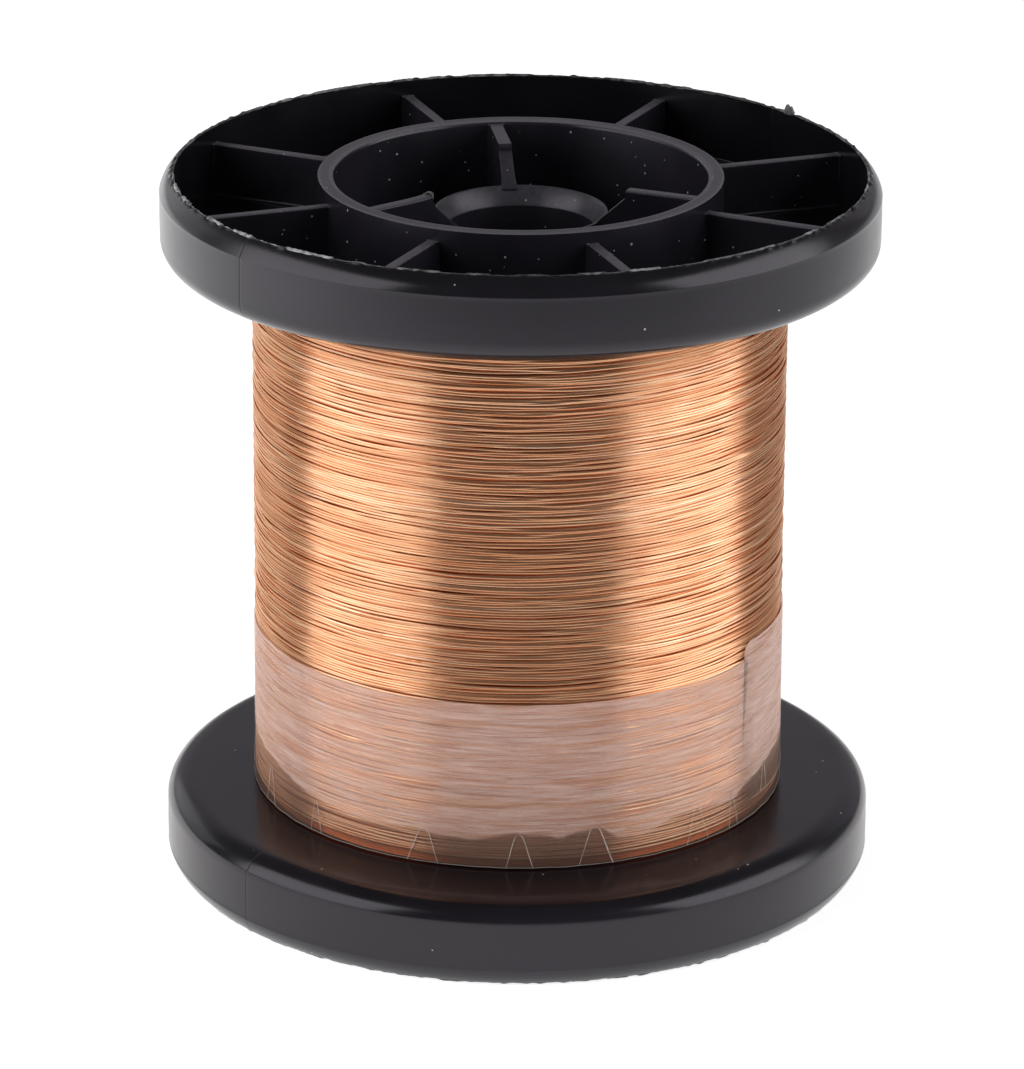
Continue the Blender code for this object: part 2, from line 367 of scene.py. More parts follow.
def copper_surface(name, brightness, redness, coat):
    """Copper under clear enamel. Each lay of wire has a tone of its own, and the flanks of each turn get
    painted shade, darker and redder, standing in for the shade in the gaps between turns.
    """
    made, tree, shader = new_surface(name)
    place = add_node(tree, "ShaderNodeTexCoord").outputs["Object"]
    tone = add_node(tree, "ShaderNodeAttribute", attribute_name="lay_tone").outputs["Fac"]
    outward = add_node(tree, "ShaderNodeAttribute", attribute_name="outward").outputs["Fac"]
    ramp = add_node(tree, "ShaderNodeValToRGB", {"Fac": tone})
    for position, _ in COPPER_TONES[1:-1]:
        ramp.color_ramp.elements.new(position)
    tint = (brightness, brightness * (1.0 - redness), brightness * (1.0 - 1.6 * redness))
    for element, (_, colour) in zip(ramp.color_ramp.elements, COPPER_TONES):
        element.color = (*(part * scale for part, scale in zip(colour, tint)), 1.0)
    patches = noise_of(tree, place, 240.0)
    darker = (*(part * scale for part, scale in zip(DARK_COPPER, tint)), 1.0)
    shaded = mix_colours(tree, spread(tree, patches, 0.35, 0.75, 0.0, 0.35), ramp.outputs[0], darker)
    # Painted shade: flanks that face away from the outside are darkened and reddened
    gap_shade = add_node(tree, "ShaderNodeMix", data_type="RGBA", blend_type="MULTIPLY")
    tree.links.new(spread(tree, outward, 0.1, 0.9, 1.0, 0.0), gap_shade.inputs[0])
    tree.links.new(shaded, gap_shade.inputs[6])
    gap_shade.inputs[7].default_value = COPPER_PAINTED_GAP_SHADE
    tree.links.new(gap_shade.outputs[2], shader.inputs["Base Color"])
    tree.links.new(spread(tree, patches, 0.3, 0.7, 0.3, 0.38), shader.inputs["Roughness"])
    shader.inputs["Metallic"].default_value = 1.0
    shader.inputs["Anisotropic"].default_value = 0.85
    shader.inputs["Anisotropic Rotation"].default_value = 0.25
    shader.inputs["Specular Tint"].default_value = COPPER_EDGE_TINT
    shader.inputs["Coat Weight"].default_value = coat
    shader.inputs["Coat Roughness"].default_value = 0.2
    shader.inputs["Coat IOR"].default_value = 1.55
    return made


def film_surface(name):
    """Clear film, milky where it has stuck to the wire and clear along its loose lower edge. The milky part
    is tinted with the copper colour of the wire under it, painted light; the clear edge is tinted dark
    brown, painted shade of the gap under it.
    """
    made, tree, shader = new_surface(name)
    travel = add_node(tree, "ShaderNodeAttribute", attribute_name="travel").outputs["Fac"]
    height = add_node(tree, "ShaderNodeAttribute", attribute_name="height").outputs["Fac"]
    edge = add_node(tree, "ShaderNodeAttribute", attribute_name="frost_edge").outputs["Fac"]
    stuck = spread(tree, maths(tree, "SUBTRACT", height, edge), -0.12, 0.2, 0.0, 1.0)
    whole = math.radians(tape_total()) * WINDING_RADIUS / MM
    fade = spread(tree, height, 16.7, 17.3, 2.6, 0.12)
    left = maths(tree, "SUBTRACT", whole, travel)
    solid = maths(tree, "MINIMUM", maths(tree, "DIVIDE", left, fade), 1.0)

    def strip_noise(along, scale, detail):
        stretched = maths(tree, "MULTIPLY", travel, along)
        where = add_node(tree, "ShaderNodeCombineXYZ", {0: stretched, 1: height})
        return noise_of(tree, where.outputs[0], scale, detail)

    streaks = strip_noise(0.07, 2.6, 4.0)
    lines = strip_noise(0.02, 9.0, 2.0)
    clouds = strip_noise(0.25, 0.4, 3.0)
    patches = strip_noise(0.12, 0.75, 3.0)
    place = add_node(tree, "ShaderNodeCombineXYZ", {0: travel, 1: height}).outputs[0]
    cells = add_node(tree, "ShaderNodeTexVoronoi", {"Vector": place, "Scale": 2.4})
    bubble = maths(tree, "LESS_THAN", cells.outputs["Distance"], 0.16)
    rare = maths(tree, "GREATER_THAN", cells.outputs["Color"], 0.82)
    bubble = maths(tree, "MULTIPLY", maths(tree, "MULTIPLY", bubble, rare), stuck)
    milk = spread(tree, streaks, 0.3, 0.7, 0.29, 0.37)
    milk = maths(tree, "ADD", milk, spread(tree, lines, 0.3, 0.7, -0.06, 0.06))
    milk = maths(tree, "ADD", milk, spread(tree, clouds, 0.3, 0.7, -0.06, 0.08))
    milk = maths(tree, "SUBTRACT", milk, spread(tree, patches, 0.5, 0.68, 0.0, 0.12))
    clear = 0.25
    alpha = maths(tree, "MULTIPLY", stuck, maths(tree, "SUBTRACT", milk, clear))
    alpha = maths(tree, "ADD", alpha, clear)
    brim = maths(tree, "LESS_THAN", height, 0.05)
    pale = maths(tree, "MAXIMUM", bubble, brim)
    alpha = maths(tree, "ADD", alpha, maths(tree, "MULTIPLY", pale, 0.25))
    tree.links.new(maths(tree, "MULTIPLY", alpha, solid), shader.inputs["Alpha"])
    # Painted light: copper-coloured streaks and patches in the frost; painted shade on the clear edge
    frost = mix_colours(tree, spread(tree, streaks, 0.35, 0.65, 0.0, 1.0), FROST_PAINTED_COPPER_DARK, FROST_PAINTED_COPPER_PALE)
    frost = mix_colours(tree, spread(tree, patches, 0.48, 0.62, 0.0, 0.6), frost, FROST_PAINTED_COPPER_PATCH)
    colour = mix_colours(tree, stuck, FILM_CLEAR_PAINTED_SHADE, frost)
    colour = mix_colours(tree, pale, colour, FILM_BUBBLE)
    tree.links.new(colour, shader.inputs["Base Color"])
    tree.links.new(spread(tree, clouds, 0.3, 0.7, 0.3, 0.45), shader.inputs["Roughness"])
    ridges = maths(tree, "MULTIPLY", lines, stuck)
    bump = add_node(tree, "ShaderNodeBump", {"Height": ridges, "Strength": 0.5, "Distance": 0.00005})
    tree.links.new(bump.outputs[0], shader.inputs["Normal"])
    return made


def crease_surface(name):
    """A fold in the film, drawn as a pale line: a painted highlight along the fold."""
    made, tree, shader = new_surface(name)
    place = add_node(tree, "ShaderNodeTexCoord").outputs["Object"]
    shade = noise_of(tree, place, 700.0)
    colour = mix_colours(tree, shade, CREASE_DARK, CREASE_PAINTED_HIGHLIGHT)
    tree.links.new(colour, shader.inputs["Base Color"])
    tree.links.new(spread(tree, shade, 0.3, 0.7, 0.4, 0.75), shader.inputs["Alpha"])
    shader.inputs["Roughness"].default_value = 0.25
    return made


def floor_surface():
    """Pale floor that glows, less so in front and to the right."""
    made, tree, shader = new_surface("pale_floor")
    shader.inputs["Base Color"].default_value = (0.9, 0.9, 0.9, 1.0)
    shader.inputs["Roughness"].default_value = 0.9
    shader.inputs["Specular IOR Level"].default_value = 0.1
    shader.inputs["Emission Color"].default_value = (1.0, 1.0, 1.0, 1.0)
    place = add_node(tree, "ShaderNodeTexCoord").outputs["Object"]
    split = add_node(tree, "ShaderNodeSeparateXYZ", {0: place})
    front = spread(tree, split.outputs[1], -0.3, -0.1, 0.3, 1.0)
    side = spread(tree, split.outputs[0], -0.3, 0.3, 1.1, 0.48)
    tree.links.new(maths(tree, "MULTIPLY", front, side), shader.inputs["Emission Strength"])
    return made


# ---------------------------------------------------------------- moulded spool


def flange_angles():
    """Even steps round the flange, with close ones at the two parting lines."""
    even = np.linspace(0.0, 360.0, 1080, endpoint=False)
    close = [line + step for line in PARTING_DEGREES for step in (-0.3, -0.16, -0.08, 0.0, 0.08, 0.16, 0.3)]
    far = np.array([a for a in even if min(abs(a - line) for line in PARTING_DEGREES) > 0.35])
    return np.radians(np.sort(np.concatenate([far, close])))


def flange_outline():
    """Rim and disc as one section, from the rim's inner edge round the outside and back."""
    inner = FLANGE_RADIUS - RIM_TOP_WALL
    root = inner - RIM_DRAFT
    foot = FLANGE_RADIUS - INNER_ROUND[0]
    wall_inside = BARREL_RADIUS - SINK
    outline = [(inner - 0.01 * MM, 0.3 * MM), (inner, 0.05 * MM), (inner + 0.05 * MM, 0.0)]
    outline += [(inner + 0.2 * MM, 0.0)]
    crease = math.radians(CREASE_DEGREES)
    centre = (FLANGE_RADIUS - OUTER_ROUND * math.cos(crease), CREASE_DEPTH + OUTER_ROUND * math.sin(crease))
    top_degrees = math.degrees(math.asin((centre[1] - 0.03 * MM) / OUTER_ROUND))
    outline += arc(centre, OUTER_ROUND, OUTER_ROUND, -top_degrees, -CREASE_DEGREES - 1.0, 12)
    outline += arc(centre, OUTER_ROUND, OUTER_ROUND, -CREASE_DEGREES - 0.5, -CREASE_DEGREES, 1)
    lip = FLANGE_RADIUS + CREASE_LIP
    outline += [(lip, CREASE_DEPTH + 0.05 * MM), (lip, CREASE_DEPTH + 0.12 * MM)]
    outline += [(FLANGE_RADIUS, CREASE_DEPTH + 0.2 * MM), (FLANGE_RADIUS, CREASE_DEPTH + 0.6 * MM)]
    outline += [(FLANGE_RADIUS + 0.02 * MM, (CREASE_DEPTH + FLANGE_THICKNESS - INNER_ROUND[1]) / 2.0)]
    outline += arc((foot, FLANGE_THICKNESS - INNER_ROUND[1]), *INNER_ROUND, 0.0, 90.0, 14)
    outline += [(0.5 * (foot + BARREL_RADIUS), FLANGE_THICKNESS), (wall_inside, FLANGE_THICKNESS)]
    outline += [(wall_inside, FLOOR_DEPTH - FILLET)]
    outline += arc((BARREL_RADIUS + FILLET, FLOOR_DEPTH - FILLET), FILLET, FILLET, 180.0, 90.0, 6)
    outline += [(0.5 * (root + BARREL_RADIUS), FLOOR_DEPTH)]
    outline += arc((root - FILLET, FLOOR_DEPTH - FILLET), FILLET, FILLET, 90.0, 0.0, 6)
    return outline


def make_flash(side, backlit_torn_flash):
    """Torn flash along the rim's inner edge: a thin ragged fin. The top one has a lump at the back."""
    angles = np.linspace(0.0, 2.0 * math.pi, FLASH_SAMPLES, endpoint=False)
    degrees = np.degrees(angles)
    seed = 11 if side == "top" else 21
    heavy = np.exp(-(((degrees - HEAVY_FLASH[0]) / HEAVY_FLASH[1]) ** 4))
    heavy += 0.15 * np.exp(-(((degrees - LIGHT_FLASH[0]) / LIGHT_FLASH[1]) ** 2))
    heavy = np.clip(0.3 + heavy + 0.15 * round_noise(angles, seed, 2, 14), 0.15, 1.2)
    plates = ease(0.5 + 2.2 * round_noise(angles, seed + 2, 14, 60))
    teeth = np.clip(round_noise(angles, seed + 1, 90, 420), -1.0, 2.0)
    flutter = round_noise(angles, seed + 3, 60, 300)
    lump = np.zeros(FLASH_SAMPLES)
    if side == "top":
        lump = np.exp(-((degrees - FLASH_LUMP_DEGREES) ** 8)) * (0.88 + 0.12 * np.cos(angles * 420.0))
    rise = MM * (0.05 + 0.15 * plates * (0.6 + 0.4 * heavy) + 0.025 * heavy * teeth) + 0.8 * MM * lump
    rise = np.maximum(rise, 0.01 * MM)
    lean = MM * (0.05 * heavy - 0.02 + 0.04 * heavy * flutter) + 0.1 * MM * lump
    thick = MM * (0.07 + 0.2 * heavy * plates) + 0.6 * MM * lump
    foot = FLANGE_RADIUS - RIM_TOP_WALL + 0.02 * MM
    middle = foot + 0.5 * lean
    tip = foot + lean
    section = [
        (foot - 0.5 * thick, np.full(FLASH_SAMPLES, 0.12 * MM)),
        (middle - 0.5 * thick, -0.45 * rise),
        (tip - 0.2 * thick, -rise),
        (tip + 0.2 * thick, -0.95 * rise),
        (middle + 0.6 * thick, -0.4 * rise),
        (foot + thick, np.full(FLASH_SAMPLES, 0.03 * MM)),
    ]
    rings = np.stack([polar(radius, angles, height) for radius, height in section], axis=1)
    # Painted light: how far the fin is paled, most where the flash is heavy
    pale = np.repeat(np.clip(heavy * (0.7 + 0.6 * plates), 0.0, 1.0), len(section))
    piece = loft(f"{side}_rim_flash", placed(rings, side == "top"), True, backlit_torn_flash, {"pale": pale})
    finish_piece(piece, "spool_plastic")


def make_flange(side, plastic):
    """Rim and disc with the parting lines, faint sinks over the ribs and a nicked inner edge."""
    top = side == "top"
    angles = flange_angles()
    rings = turn(flange_outline(), angles)
    radius = np.hypot(rings[..., 0], rings[..., 1])
    height = rings[..., 2].copy()
    degrees = np.degrees(angles)[:, None]
    outside = (radius > FLANGE_RADIUS - INNER_ROUND[0] - 0.01 * MM) & (height > 0.1 * MM)
    for line in PARTING_DEGREES:
        groove = np.exp(-(((degrees - line) / 0.08) ** 2)) * 0.08 * MM
        step = 0.035 * MM * ease((degrees - line) / 0.3 + 0.5) * np.exp(-(((degrees - line) / 5.0) ** 2))
        radius = np.where(outside, radius - groove + step, radius)
    sinks = 0.012 * MM * np.cos(RIB_COUNT * (np.radians(degrees) - math.radians(FIRST_RIB_DEGREES)))
    radius = np.where(outside, radius - sinks, radius)
    edge = (height < 0.04 * MM) & (radius < FLANGE_RADIUS - 1.2 * MM)
    seed = 71 if top else 81
    nicks = 0.05 * MM * round_noise(angles, seed, 20, 120)
    nicks += 0.03 * MM * round_noise(angles, seed + 1, 100, 200)
    height = np.where(edge, height + nicks[:, None], height)
    rings = placed(polar(radius, angles[:, None], height), top)
    piece = loft(side + "_flange", rings, True, plastic)
    finish_piece(piece, "spool_plastic", side + "_rim", side + "_flange_disc")


def plate_rings(stations, low, high, half_width, flare):
    """Rings across a standing plate. low, high and flare are one value for each station (radius)."""
    rings = []
    edge = EDGE_ROUND
    quarter = np.linspace(0, math.pi / 2, 4)
    for radius, bottom, top, extra in zip(stations, low, high, flare):
        half = half_width + extra
        corner = [(half - edge * (1.0 - math.cos(a)), edge * (1.0 - math.sin(a))) for a in quarter]
        right = [(y, bottom + z) for y, z in corner[::-1]]
        right += [(half, bottom + 0.3 * MM)]
        right += [(half, bottom + (top - bottom) * share) for share in (0.25, 0.5, 0.75)]
        right += [(half, top - 0.3 * MM)]
        right += [(y, top - z) for y, z in corner]
        left = [(-y, z) for y, z in right[::-1]]
        rings.append([(radius, y, z) for y, z in right + left])
    return np.array(rings)


def end_stations(inner, outer, middles):
    """Radii along a plate, close together at both ends where it flares into the walls."""
    steps = np.array([-1.0, 0.0, 0.12, 0.28, 0.5, 0.75, 1.0]) * FILLET
    return np.concatenate([inner + steps, middles, (outer - steps)[::-1]])


def fillet_flare(distance):
    """How far a fillet stands out at a distance from the wall."""
    inside = np.clip(FILLET - distance, 0.0, FILLET)
    return FILLET - np.sqrt(FILLET**2 - inside**2)


def make_rib(side, index, plastic):
    """Radial rib with draft, filleted into the ring, the rim and the disc."""
    rim = FLANGE_RADIUS - RIM_TOP_WALL - 0.6 * RIM_DRAFT
    stations = end_stations(BARREL_RADIUS, rim, np.linspace(BARREL_RADIUS + 1.5 * MM, rim - 1.5 * MM, 6))
    flare = 0.5 * fillet_flare(np.minimum(stations - BARREL_RADIUS, rim - stations))
    depths = [0.0, 0.04, 0.12, 0.3, 1.5, 3.0, 4.5, 5.4, 5.62, 5.76, 5.86, 5.9, 6.4]
    rings = []
    for radius, extra in zip(stations, flare):
        side_points = []
        for depth in depths:
            z = RIB_TOP_DEPTH + depth * MM
            draft = 0.02 * depth * MM
            above = max(EDGE_ROUND - depth * MM, 0.0)
            corner = EDGE_ROUND - math.sqrt(EDGE_ROUND**2 - above**2)
            root = float(fillet_flare(np.array(max(FLOOR_DEPTH - z, 0.0))))
            half = RIB_HALF_WIDTH + extra + draft + root - corner
            side_points.append((half, z))
        loop = side_points + [(-y, z) for y, z in side_points[::-1]]
        rings.append([(radius, y, z) for y, z in loop])
    degrees = FIRST_RIB_DEGREES + 360.0 * index / RIB_COUNT
    rings = np.array(rings)
    # Painted highlight and wear along the rib's top edge
    wear_and_highlight = rings[..., 2] < RIB_TOP_DEPTH + 0.06 * MM
    rings = placed(rings, side == "top", degrees)
    piece = loft(f"{side}_flange_rib_{index + 1}", rings, False, plastic, {"wear_and_highlight": 0.75 * wear_and_highlight})
    finish_piece(piece, "spool_plastic", f"{side}_rib_{index + 1}")


def make_web(index, plastic):
    """Web from barrel to centre tube. Both ends step down and slope onto the tube's mouth."""
    slope_start = WEB_SHOULDER_RADIUS - 0.05 * MM
    slope = np.linspace(slope_start, WEB_TIP_RADIUS, 12)
    flat = np.linspace(WEB_SHOULDER_RADIUS, BARREL_BORE - 1.0 * MM, 7)
    near_wall = BARREL_BORE - FILLET * np.array([1.0, 0.75, 0.5, 0.28, 0.12, 0.0, -1.0])
    stations = np.concatenate([slope[::-1], flat, near_wall])
    share = np.clip((slope_start - stations) / (slope_start - LEAD_IN_RADIUS), 0.0, 1.2)
    end = WEB_LOW + np.where(stations < WEB_SHOULDER_RADIUS - 0.01 * MM, WEB_STEP, 0.0)
    end = end + share * (TUBE_LOW - WEB_LOW - WEB_STEP)
    flare = np.clip(fillet_flare(BARREL_BORE - stations), 0.0, FILLET)
    flare = flare + 0.12 * MM * ease((11.0 * MM - stations) / (2.0 * MM))
    rough = 0.0
    if index == 1:
        ragged = 0.2 * MM * np.abs(long_noise(len(stations), 5, 1.5))
        above_step = stations > WEB_SHOULDER_RADIUS - 0.1 * MM
        rough = ragged * ease((14.2 * MM - stations) / (1.2 * MM)) * above_step
    rings = plate_rings(stations, end, HEIGHT - end + rough, WEB_HALF_WIDTH, flare)
    degrees = FIRST_WEB_DEGREES + 360.0 * index / WEB_COUNT
    depth = np.minimum(rings[..., 2], HEIGHT - rings[..., 2])
    # Painted highlight and wear along the web's top edges
    wear_and_highlight_level = np.where(stations > WEB_SHOULDER_RADIUS - 0.01 * MM, 0.35, 0.0)
    wear_and_highlight_level = np.where(stations < WEB_SHOULDER_RADIUS - 0.3 * MM, 0.25, wear_and_highlight_level)
    wear_and_highlight = (depth < end[:, None] + 0.06 * MM) * wear_and_highlight_level[:, None]
    piece = loft(f"core_web_{index + 1}", placed(rings, False, degrees), False, plastic, {"wear_and_highlight": wear_and_highlight})
    finish_piece(piece, "spool_plastic", f"web_{index + 1}")


def make_burr(backlit_torn_flash):
    """Curl of torn plastic left standing on the second web's shoulder."""
    share = np.linspace(-1.0, 1.0, 17)
    ragged = long_noise(len(share), 9, 2.0)
    height = HEIGHT - WEB_LOW + MM * (0.05 + 0.25 * (1.0 - share**2) + 0.05 * ragged)
    radius = WEB_SHOULDER_RADIUS + MM * (0.15 - 0.4 * (1.0 - share**2))
    thick = MM * (0.16 - 0.06 * np.abs(share))
    around = np.arange(6) * math.pi / 3.0
    x = radius[:, None] + thick[:, None] * np.cos(around)
    y = np.broadcast_to(0.85 * MM * share[:, None], x.shape)
    z = height[:, None] + 1.3 * thick[:, None] * np.sin(around)
    rings = placed(np.stack([x, y, z], axis=-1), False, FIRST_WEB_DEGREES + 360.0 / WEB_COUNT)
    # Painted light: the curl is paled a little
    piece = loft("core_web_2_burr", rings, False, backlit_torn_flash, {"pale": np.full(x.shape, 0.15)})
    finish_piece(piece, "spool_plastic")


def both_ends(outline):
    """An outline for the lower end, repeated upside down for the upper end."""
    return outline + [(radius, HEIGHT - height) for radius, height in outline[::-1]]


def make_barrel(plastic):
    """Barrel with a chamfered end face in each flange, paler and duller there: partly wear, partly a
    painted highlight line.
    """
    flat = BARREL_BORE + BARREL_CHAMFER[0]
    edge = EDGE_ROUND
    lower = [(BARREL_BORE, 12.0 * MM), (BARREL_BORE, BARREL_LOW + BARREL_CHAMFER[1])]
    lower += arc((flat, BARREL_LOW + BARREL_CHAMFER[1]), *BARREL_CHAMFER, 205.0, 262.0, 4)
    lower += [(flat + 0.08 * MM, BARREL_LOW), (flat + 0.3 * MM, BARREL_LOW + 0.01 * MM)]
    lower += [(BARREL_RADIUS - 0.35 * MM, BARREL_LOW + 0.01 * MM)]
    lower += arc((BARREL_RADIUS - edge, BARREL_LOW + edge), edge, edge, -90.0, 0.0, 4)
    lower += [(BARREL_RADIUS, 8.0 * MM)]
    angles = np.linspace(0.0, 2.0 * math.pi, BARREL_SAMPLES, endpoint=False)
    rings = turn(both_ends(lower), angles)
    wobble = 1.0 + 0.0006 * round_noise(angles, 31, 3, 24)
    rings[..., :2] *= wobble[:, None, None]
    # Painted highlight and wear on the barrel's end edges and chamfer, kept faint across the flat between
    wear_and_highlight = (np.minimum(rings[..., 2], HEIGHT - rings[..., 2]) < BARREL_LOW + 0.1 * MM) * 1.6
    radius = np.array([point[0] for point in both_ends(lower)])
    middle = (radius > flat + 0.2 * MM) & (radius < BARREL_RADIUS - 0.3 * MM)
    wear_and_highlight[:, middle] *= 0.05
    piece = loft("core_barrel", rings, True, plastic, {"wear_and_highlight": wear_and_highlight})
    finish_piece(piece, "spool_plastic", "barrel")


def make_tube(plastic):
    """Centre tube with a lead-in cone at each end."""
    edge = EDGE_ROUND
    lower = [(BORE_RADIUS, 14.0 * MM), (BORE_RADIUS, TUBE_LOW + LEAD_IN_DEPTH + 0.1 * MM)]
    lower += [(BORE_RADIUS + 0.04 * MM, TUBE_LOW + LEAD_IN_DEPTH - 0.06 * MM)]
    lower += [(LEAD_IN_RADIUS - 0.04 * MM, TUBE_LOW + 0.08 * MM), (LEAD_IN_RADIUS + 0.05 * MM, TUBE_LOW)]
    lower += arc((TUBE_RADIUS - edge, TUBE_LOW + edge), edge, edge, -90.0, 0.0, 4)
    lower += [(TUBE_RADIUS, 14.0 * MM)]
    angles = np.linspace(0.0, 2.0 * math.pi, TUBE_SAMPLES, endpoint=False)
    rings = turn(both_ends(lower), angles)
    radius = np.hypot(rings[..., 0], rings[..., 1])
    # Painted highlight and wear on the lead-in cones
    wear_and_highlight = 0.4 * ((radius > BORE_RADIUS + 0.02 * MM) & (radius < LEAD_IN_RADIUS + 0.1 * MM))
    piece = loft("core_centre_tube", rings, True, plastic, {"wear_and_highlight": wear_and_highlight})
    finish_piece(piece, "spool_plastic", "centre_tube")


# ---------------------------------------------------------------- wire


def make_winding_bed(copper):
    """The inner layers as one ridged ring down to the barrel, seen only through gaps in the turns. It takes
    the darker, redder copy of the copper, tones from the darker end of the ramp, and, having no outward
    attribute, the full painted gap shade.
    """
    low = FLANGE_THICKNESS - 0.02 * MM
    high = HEIGHT - low
    count = int((high - low) / WIRE_DIAMETER)
    ridge = (0.0, 0.09 * MM, 0.13 * MM, 0.09 * MM)
    heights = np.linspace(low, high, count * len(ridge) + 1)
    bumps = np.array([ridge[i % len(ridge)] for i in range(len(heights))])
    angles = np.linspace(0.0, 2.0 * math.pi, BED_SAMPLES, endpoint=False)
    outer_radius = WINDING_RADIUS - 2.6 * WIRE_DIAMETER + bumps
    outer_radius = np.broadcast_to(outer_radius, (len(angles), len(heights)))
    outer = polar(outer_radius, angles[:, None], heights[None, :])
    inner = polar(BARREL_RADIUS - 0.05 * MM, angles[:, None], np.array([high, low])[None, :])
    rings = np.concatenate([outer, inner], axis=1)
    tone = np.broadcast_to(0.25 + 0.2 * np.sin(np.arange(rings.shape[1]) * 1.7), rings.shape[:2])
    piece = loft("winding_inner_layers", rings, True, copper, {"lay_tone": tone})
    finish_piece(piece, "enamelled_copper", "wire_winding")


def stacked_lift(height, rank, samples):
    """How far each point of the wire is lifted by the neighbouring turns that it lies over."""
    count = len(height)
    lift = np.zeros(count)
    reach = 0.9 * WIRE_DIAMETER
    offsets = [step * samples for step in (-4, -3, -2, -1, 1, 2, 3, 4)]
    near = [np.clip(np.arange(count) + offset, 0, count - 1) for offset in offsets]
    for _ in range(3):
        highest = np.zeros(count)
        for index in near:
            apart = np.abs(height - height[index])
            climb = np.sqrt(np.clip(reach**2 - apart**2, 0.0, None))
            over = 1.0 / (1.0 + np.exp(-(rank - rank[index]) / 0.06))
            touching = ease((reach - apart) / (0.15 * WIRE_DIAMETER))
            highest = np.maximum(highest, (climb + lift[index] * touching) * over)
        lift = highest
    kernel = np.hanning(7)
    return np.convolve(lift, kernel / kernel.sum(), mode="same")


def wire_path(pitch, direction, seed, wander, samples):
    """Centre line of one layer of turns as arrays (lift, azimuth, height, tone)."""
    low = FLANGE_THICKNESS + 1.25 * MM
    high = HEIGHT - FLANGE_THICKNESS - 0.16 * MM
    turns = int((high - low) / pitch)
    count = turns * samples + 1
    travel = np.arange(count) / samples
    sway = 0.6 * long_noise(count, seed, 0.026 * samples)
    sway += 0.7 * long_noise(count, seed + 1, 0.06 * samples)
    sway += 0.4 * long_noise(count, seed + 2, 0.25 * samples)
    sway += 0.4 * long_noise(count, seed + 3, 1.5 * samples)
    hold = ease(np.minimum(travel, turns - travel) / 3.0)
    height = low + (high - low) * travel / turns + wander * sway * hold
    height = np.clip(height, low, high)
    rank = 0.6 * long_noise(count, seed + 4, 0.2 * samples) + long_noise(count, seed + 5, 0.045 * samples)
    lift = stacked_lift(height, rank, samples)
    tone = 0.5 + 0.2 * long_noise(count, seed + 6, 0.6 * samples)
    tone += 0.2 * long_noise(count, seed + 7, 0.06 * samples)
    azimuth = direction * 2.0 * math.pi * travel
    return lift, azimuth, height, np.clip(tone, 0.0, 1.0)


def wire_corners():
    """Angles round the wire's section. The first points straight out from the spool's axis."""
    return np.arange(WIRE_SIDES) * 2.0 * math.pi / WIRE_SIDES


def wire_rings(radius, azimuth, height):
    """Rings round the wire's centre line, each standing in a plane through the spool's axis."""
    around = wire_corners()
    half = 0.5 * WIRE_DIAMETER
    ring_radius = radius[:, None] + half * np.cos(around)[None, :]
    ring_height = height[:, None] + half * np.sin(around)[None, :]
    return polar(ring_radius, azimuth[:, None], ring_height)


def make_layer(name, path, radius, copper, parts):
    """One layer as a single wire, kept as pieces of a size that a mesh file holds easily."""
    lift, azimuth, height, tone = path
    centre = radius + lift
    bounds = np.linspace(0, len(centre) - 1, parts + 1).astype(int)
    for index, (start, end) in enumerate(zip(bounds, bounds[1:])):
        pick = slice(start, end + 1)
        rings = wire_rings(centre[pick], azimuth[pick], height[pick])
        tones = np.repeat(tone[pick], WIRE_SIDES)
        # Which way each corner faces, which sets its painted gap shade
        outward = np.tile(np.cos(wire_corners()), len(rings))
        attributes = {"lay_tone": tones, "outward": outward}
        piece = loft(f"{name}_{index + 1}", rings, False, copper, attributes)
        finish_piece(piece, "enamelled_copper")


def make_outer_turns(copper, painted_shade_copper):
    """The two outermost layers, wound in opposite directions."""
    under = wire_path(UNDER_PITCH, 1.0, 400, 0.05 * MM, UNDER_SAMPLES)
    under_radius = WINDING_RADIUS - 1.42 * WIRE_DIAMETER
    # The under turns take the darker, redder copy of the copper: painted shade
    make_layer("wire_under_turns", under, under_radius, painted_shade_copper, 3)
    lift, azimuth, height, tone = wire_path(OUTER_PITCH, -1.0, 410, 0.07 * MM, OUTER_SAMPLES)
    lift = 0.6 * WIRE_DIAMETER * np.tanh(lift / (0.9 * WIRE_DIAMETER))
    outer_radius = WINDING_RADIUS - 0.9 * WIRE_DIAMETER
    make_layer("wire_outer_turns", (lift, azimuth, height, tone), outer_radius, copper, 4)


# ---------------------------------------------------------------- tape

# Loose tucks along the tape's lower edge: (azimuth in degrees, half width, height, strength, and
# how much stronger the later leg is) of each
TUCKS = (
    (222.0, 0.9, 3.6, 0.7, 0.0),
    (249.8, 1.8, 4.0, 1.0, -0.4),
    (270.6, 1.5, 4.0, 1.0, 0.0),
    (286.9, 1.95, 4.4, 1.1, 0.4),
    (312.0, 1.6, 4.2, 0.6, -0.2),
    (323.5, 0.8, 4.4, 0.8, 0.0),
    (337.0, 0.8, 3.6, 0.8, 0.2),
    (12.0, 1.4, 4.4, 0.9, 0.3),
    (58.0, 1.7, 4.1, 0.9, -0.3),
    (101.0, 1.3, 4.6, 0.9, 0.2),
    (139.0, 1.6, 4.3, 0.8, -0.2),
    (176.0, 1.4, 4.5, 0.9, 0.3),
    (203.0, 1.2, 4.2, 0.7, 0.0),
)

